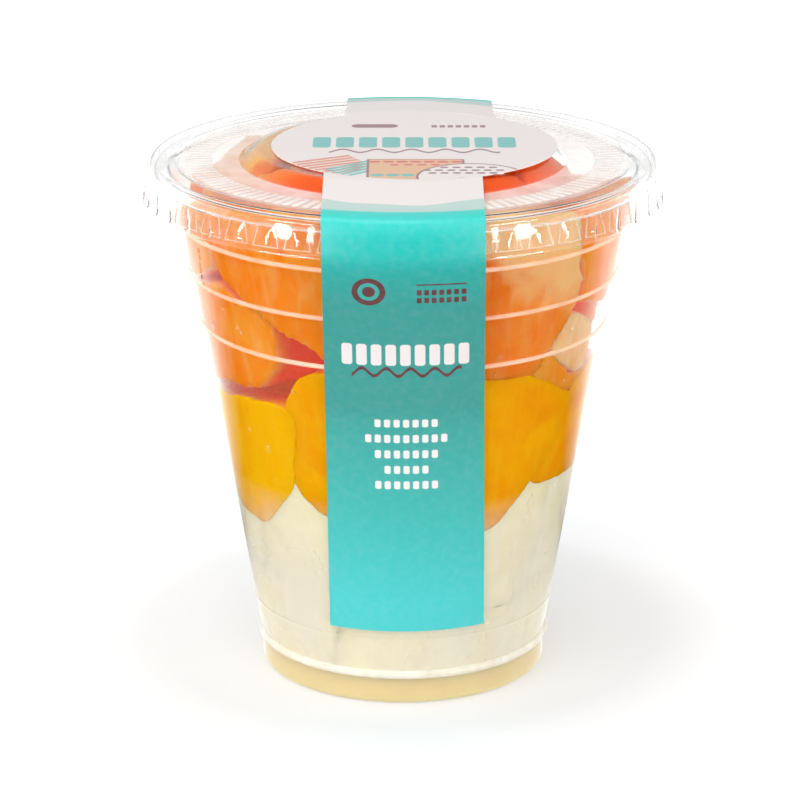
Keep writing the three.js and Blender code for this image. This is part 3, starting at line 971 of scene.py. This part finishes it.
PAPER = 0.2
SEAL_SIDES = 192
SEAL_RADIUS = 27.8
SEAL_SHIFT = 2.2
SEAL_HEIGHT = 105.3
STRIP_HALF = 14.9
STRIP_DRIFT = 0.8
BACK_SHIFT = 3.4  # the sticker lies a little askew, so its back strip is further to the right
STRIP_TOP = 103.4
STRIP_END = 16.0

strip_line = eased(
    [
        (28.4, SEAL_HEIGHT),
        (29.4, SEAL_HEIGHT),
        (48.8, 103.75),
        (50.2, 103.2),
        (50.7, 101.0),
        (51.4, 95.6),
        (wall_radius(62) + 0.15, 62),
        (wall_radius(STRIP_END) + 0.15, STRIP_END),
    ],
    2.2,
    5,
)


def finer(line, step):
    """The line with no two points further apart than step."""
    points = [line[0]]
    for before, after in zip(line, line[1:]):
        count = max(1, math.ceil(math.dist(before, after) / step))
        for i in range(1, count + 1):
            points.append(tuple(np.array(before) + (np.array(after) - np.array(before)) * i / count))
    return points


def seal_edge(side):
    """How far towards the front the seal's edge lies at that distance to the side."""
    return math.sqrt(SEAL_RADIUS**2 - (side - SEAL_SHIFT) ** 2)


def sticker_sheet():
    """The sticker's sheet, with each point's place on the flat cut pattern kept in an attribute."""
    bpy.ops.object.select_all(action="DESELECT")
    middle = (SEAL_SHIFT * MM, 0, SEAL_HEIGHT * MM)
    bpy.ops.mesh.primitive_circle_add(
        vertices=SEAL_SIDES, radius=SEAL_RADIUS * MM, fill_type="NGON", location=middle
    )
    sheet = bpy.context.active_object
    sheet.name = "sticker"
    bpy.ops.object.transform_apply(location=True, rotation=False, scale=False)
    bpy.ops.object.mode_set(mode="EDIT")
    bpy.ops.mesh.select_mode(type="EDGE")
    cut = bmesh.from_edit_mesh(sheet.data)
    pattern = cut.verts.layers.float_vector.new("pattern")
    for way in (-1, 1):
        row = [v for v in cut.verts if v.co.y * way > 0]
        shift = BACK_SHIFT * (way > 0)
        for side in (shift - STRIP_HALF, shift + STRIP_HALF):
            corner = min(row, key=lambda v: abs(v.co.x / MM - side))
            corner.co.x = side * MM
            corner.co.y = way * seal_edge(side) * MM
    for v in cut.verts:
        v[pattern] = (v.co.x / MM, v.co.y / MM, 0)
    bmesh.update_edit_mesh(sheet.data)
    rows = finer(strip_line, 2.0)
    for way in (-1, 1):
        bpy.ops.mesh.select_all(action="DESELECT")
        cut = bmesh.from_edit_mesh(sheet.data)
        limit = (STRIP_HALF + 0.01) * MM
        shift = BACK_SHIFT * (way > 0) * MM
        for edge in cut.edges:
            edge.select = edge.is_boundary and all(
                v.co.y * way > 0.015 and abs(v.co.x - shift) < limit for v in edge.verts
            )
        cut.select_flush(False)
        bmesh.update_edit_mesh(sheet.data)
        length, before, drift = rows[0][0], rows[0], 0.0
        for radius, height in rows:
            bpy.ops.mesh.extrude_edges_move()
            cut = bmesh.from_edit_mesh(sheet.data)
            pattern = cut.verts.layers.float_vector["pattern"]
            length += math.dist(before, (radius, height))
            before = (radius, height)
            next_drift = STRIP_DRIFT * max(0.0, (STRIP_TOP - height) / (STRIP_TOP - STRIP_END))
            flat = 1 - smooth_step(radius, 30, 48) if height > 103 else 0.0
            for v in cut.verts:
                if v.select:
                    column = v.co.x / MM + way * drift
                    side = column - way * next_drift
                    reach = math.sqrt(radius**2 - side**2)
                    v.co = (side * MM, way * reach * MM, height * MM)
                    v[pattern] = (column, way * (flat * reach + (1 - flat) * length), 0)
            bmesh.update_edit_mesh(sheet.data)
            drift = next_drift
    bpy.ops.object.mode_set(mode="OBJECT")
    return sheet


sticker = sticker_sheet()
face_out(sticker)
thicken(sticker, PAPER, 1.0)
smooth(sticker, 30)

PINK_WHITE = (0.97, 0.90, 0.88)
TEAL = (0.055, 0.48, 0.43)
# The strip's ground along its length in millimetres: a pale painted highlight where it bends over the rim,
# then teal that grows darker part way down and lighter again near its end, partly print and partly painted
# shade
TEAL_PRINT_AND_SHADE = (
    (43.4, (0.60, 0.77, 0.73)), (46.4, (0.58, 0.76, 0.72)), (47.2, (0.08, 0.74, 0.67)),
    (54, (0.01, 0.52, 0.47)), (68, (0.05, 0.38, 0.34)), (92, (0.055, 0.39, 0.35)),
    (116, (0.06, 0.54, 0.50)), (134, (0.075, 0.65, 0.65)),
)
MAROON = (0.16, 0.055, 0.06)
SOFT_MAROON = (0.42, 0.25, 0.27)
SOFT_TEAL = (0.27, 0.62, 0.60)
CORAL = (0.80, 0.22, 0.22)
PEACH = (0.90, 0.58, 0.38)

# Each printed mark: colour, middle across and along, half width and half height and corner,
# and then its turn in degrees, the pitch at which it repeats across and how often to each side
SEAL_MARKS = (
    (SOFT_MAROON, (-5.6, 15.5), (4.6, 1.5), 1.4),
    (SOFT_MAROON, (11.0, 15.2), (0.55, 1.0), 0.3, 0, 1.6, 3),
    (SOFT_TEAL, (2.2, 1.6), (1.75, 4.3), 0.9, 0, 4.5, 4),
    (PEACH, (-13.5, -17.5), (0.45, 7.0), 0.4, 62, 1.8, 3),
    (CORAL, (-13.1, -16.7), (0.3, 6.0), 0.3, 62, 1.8, 3),
    (SOFT_TEAL, (-8.2, -19.0), (0.5, 6.0), 0.4, 48, 1.5, 2),
    (SOFT_MAROON, (2.4, -20.0), (9.3, 8.0), 0.6),
    (PEACH, (2.4, -20.0), (8.8, 7.6), 0.4),
    (CORAL, (2.4, -14.2), (1.1, 0.7), 0.7, 0, 2.6, 3),
    (CORAL, (3.6, -16.6), (0.9, 0.6), 0.6, 0, 2.6, 2),
    (SOFT_TEAL, (-2.0, -24.6), (1.3, 1.0), 0.9, 0, 2.9, 1),
    (SOFT_MAROON, (13.0, -26.0), (10.6, 10.6), 10.6),
    (PINK_WHITE, (13.0, -26.0), (10.1, 10.1), 10.1),
    (SOFT_MAROON, (12.4, -18.6), (0.8, 0.55), 0.5, 0, 2.3, 2),
    (SOFT_MAROON, (11.4, -20.8), (0.8, 0.55), 0.5, 0, 2.3, 3),
    (SOFT_MAROON, (12.4, -23.0), (0.8, 0.55), 0.5, 0, 2.3, 3),
)
STRIP_MARKS = (
    (MAROON, (-6.4, -64.2), (3.1, 3.1), 3.1),
    (TEAL, (-6.4, -64.2), (2.0, 2.0), 2.0),
    (MAROON, (-6.4, -64.2), (1.2, 1.2), 1.2),
    (MAROON, (6.9, -62.5), (4.6, 0.16), 0.1),
    (MAROON, (6.9, -64.3), (0.45, 0.62), 0.2, 0, 1.36, 3),
    (MAROON, (6.9, -66.1), (0.45, 0.62), 0.2, 0, 1.36, 3),
    (PINK_WHITE, (0.2, -78.9), (0.98, 2.5), 0.6, 0, 2.7, 4),
    *(
        (PINK_WHITE, (0.2, middle), (0.58, 0.85), 0.35, 0, 1.78, repeats)
        for middle, repeats in ((-95.2, 3), (-98.5, 4), (-101.8, 3), (-105.1, 2), (-108.4, 3))
    ),
)
WAVES = ((SOFT_MAROON, (2.2, -5.4), 16.5, 0.55, 1.3, 6.6), (MAROON, (0.4, -83.0), 10.2, 0.42, 0.9, 4.5))


def add_mark_group():
    """A printed block with round corners, turned, and repeated across at a pitch."""
    group = bpy.data.node_groups.new("printed mark", "ShaderNodeTree")
    for socket, kind in (
        ("Place", "Vector"), ("Middle", "Vector"), ("Half Size", "Vector"),
        ("Corner", "Float"), ("Turn", "Float"), ("Pitch", "Float"), ("Repeats", "Float"),
    ):
        group.interface.new_socket(socket, in_out="INPUT", socket_type="NodeSocket" + kind)
    group.interface.new_socket("Ink", in_out="OUTPUT", socket_type="NodeSocketFloat")
    given = group.nodes.new("NodeGroupInput").outputs
    result = group.nodes.new("NodeGroupOutput")
    shift = add_node(group, "ShaderNodeVectorMath", operation="SUBTRACT")
    group.links.new(given["Place"], shift.inputs[0])
    group.links.new(given["Middle"], shift.inputs[1])
    turned = add_node(group, "ShaderNodeVectorRotate", rotation_type="Z_AXIS")
    group.links.new(shift.outputs[0], turned.inputs["Vector"])
    group.links.new(given["Turn"], turned.inputs["Angle"])
    parts = group.nodes.new("ShaderNodeSeparateXYZ")
    group.links.new(turned.outputs[0], parts.inputs[0])
    half = group.nodes.new("ShaderNodeSeparateXYZ")
    group.links.new(given["Half Size"], half.inputs[0])
    column = maths(group, "ROUND", maths(group, "DIVIDE", parts.outputs["X"], given["Pitch"]))
    column = maths(group, "MINIMUM", column, given["Repeats"])
    column = maths(group, "MAXIMUM", column, maths(group, "MULTIPLY", given["Repeats"], -1.0))
    across = maths(group, "SUBTRACT", parts.outputs["X"], maths(group, "MULTIPLY", column, given["Pitch"]))
    squares = []
    for place, size in ((across, half.outputs["X"]), (parts.outputs["Y"], half.outputs["Y"])):
        core = maths(group, "SUBTRACT", size, given["Corner"])
        beyond = maths(group, "SUBTRACT", maths(group, "ABSOLUTE", place), core)
        beyond = maths(group, "MAXIMUM", beyond, 0.0)
        squares.append(maths(group, "MULTIPLY", beyond, beyond))
    reach = maths(group, "SQRT", maths(group, "ADD", *squares))
    edge = maths(group, "SUBTRACT", reach, given["Corner"])
    group.links.new(ranged(group, edge, 1.0, 0.0, -0.06, 0.06), result.inputs["Ink"])
    return group


printed_mark = add_mark_group()
paper_print, tree, shader = bare_material("printed paper", Specular_IOR_Level=0.3)
pattern = add_node(tree, "ShaderNodeAttribute", attribute_name="pattern")
pattern_place = pattern.outputs["Vector"]


def mark_ink(middle, half, corner, turn=0, pitch=1.0, repeats=0):
    """Where that mark's ink lies."""
    mark = tree.nodes.new("ShaderNodeGroup")
    mark.node_tree = printed_mark
    tree.links.new(pattern_place, mark.inputs["Place"])
    mark.inputs["Middle"].default_value = (*middle, 0)
    mark.inputs["Half Size"].default_value = (*half, 0)
    mark.inputs["Corner"].default_value = corner
    mark.inputs["Turn"].default_value = math.radians(turn)
    mark.inputs["Pitch"].default_value = pitch
    mark.inputs["Repeats"].default_value = repeats
    return mark.outputs["Ink"]


pattern_parts = tree.nodes.new("ShaderNodeSeparateXYZ")
tree.links.new(pattern_place, pattern_parts.inputs[0])
across, along = pattern_parts.outputs["X"], pattern_parts.outputs["Y"]


def wave_ink(middle, reach, half, rise, pitch):
    """A wavy printed line."""
    turns = maths(tree, "MULTIPLY", across, 2 * math.pi / pitch)
    wave = maths(tree, "MULTIPLY", maths(tree, "SINE", turns), rise)
    off = maths(tree, "SUBTRACT", maths(tree, "SUBTRACT", along, middle[1]), wave)
    line = ranged(tree, maths(tree, "ABSOLUTE", off), 1.0, 0.0, half - 0.08, half + 0.08)
    ends = maths(tree, "ABSOLUTE", maths(tree, "SUBTRACT", across, middle[0]))
    return maths(tree, "MULTIPLY", line, ranged(tree, ends, 1.0, 0.0, reach - 0.1, reach + 0.1))


ink = PINK_WHITE
for colour, *mark in SEAL_MARKS:
    ink = tinted(tree, mark_ink(*mark), ink, colour)
colour, *wave = WAVES[0]
ink = tinted(tree, wave_ink(*wave), ink, colour)
# The seal's pink white ends on the strip in a wavy shore line
bow = maths(tree, "MULTIPLY", maths(tree, "MULTIPLY", across, across), 0.0125)
ripple = maths(tree, "MULTIPLY", maths(tree, "SINE", maths(tree, "MULTIPLY", across, 0.42)), 0.35)
length = maths(tree, "ABSOLUTE", along)
shore = maths(tree, "SUBTRACT", maths(tree, "ADD", length, bow), ripple)
# The strip's teal, with its painted highlight at the bend and painted shade down its length
teal = TEAL_PRINT_AND_SHADE[0][1]
for (start, _), (end, next_teal) in zip(TEAL_PRINT_AND_SHADE, TEAL_PRINT_AND_SHADE[1:]):
    teal = tinted(tree, ranged(tree, length, 0.0, 1.0, start, end), teal, next_teal)
strip_ground_and_shade = tinted(tree, ranged(tree, shore, 0.0, 1.0, 42.6, 43.3), PINK_WHITE, teal)
seal_ground = mark_ink((SEAL_SHIFT, 0), (SEAL_RADIUS, SEAL_RADIUS), SEAL_RADIUS)
ink = tinted(tree, seal_ground, strip_ground_and_shade, ink)
for colour, *mark in STRIP_MARKS:
    ink = tinted(tree, mark_ink(*mark), ink, colour)
colour, *wave = WAVES[1]
ink = tinted(tree, wave_ink(*wave), ink, colour)
screen = object_noise(tree, 700.0, 3.0)
worn = tinted(tree, ranged(tree, screen, 0.0, 0.04, 0.4, 0.8), ink, (0.9, 0.9, 0.88))
set_finish(tree, shader, worn, ranged(tree, screen, 0.34, 0.46))
bumped(tree, shader, object_noise(tree, 900.0, 2.0), 0.00012, 0.4)

sticker.data.materials.append(paper_print)
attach(sticker, "root")
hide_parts("label")
